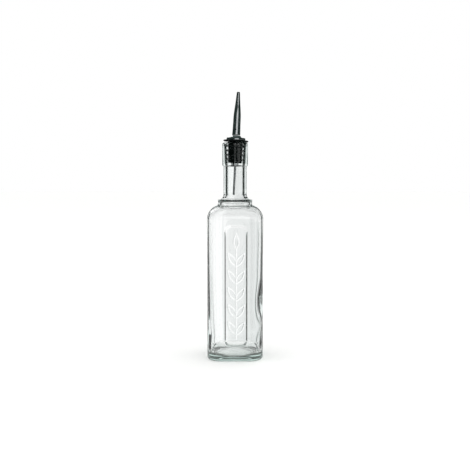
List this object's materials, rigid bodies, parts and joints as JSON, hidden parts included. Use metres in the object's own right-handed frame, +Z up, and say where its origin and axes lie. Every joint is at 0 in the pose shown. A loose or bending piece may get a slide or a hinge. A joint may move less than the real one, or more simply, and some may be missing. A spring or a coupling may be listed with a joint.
{
  "type": "oil bottle",
  "caption": "Square clear glass oil bottle with rounded shoulders, a sunken front panel and a ribbed rubber stopper that holds a tapered metal pourer.",
  "frame": {"origin": "centre of the bottle's base, on the surface that it stands on", "axes": "+Z up along the bottle, -Y out of the front face with the sunken panel, +X to the right seen from the front"},
  "size_m": [0.0616, 0.0616, 0.2946],
  "materials": {
    "bottle_glass": "clear moulded soda-lime glass with a slight grey-green tint, smooth outside and gently wavy inside",
    "stopper_rubber": "black moulded rubber, satin",
    "collar_steel": "pressed stainless steel, polished",
    "spout_steel": "drawn and swaged stainless steel, polished, with faint marks round it",
    "tube_steel": "thin drawn stainless steel tube, satin"
  },
  "bodies": {
    "root": {"bottle": "bottle_glass", "stopper": "stopper_rubber", "collar": "collar_steel", "spout": "spout_steel", "breather_tube": "tube_steel"}
  },
  "joints": []
}
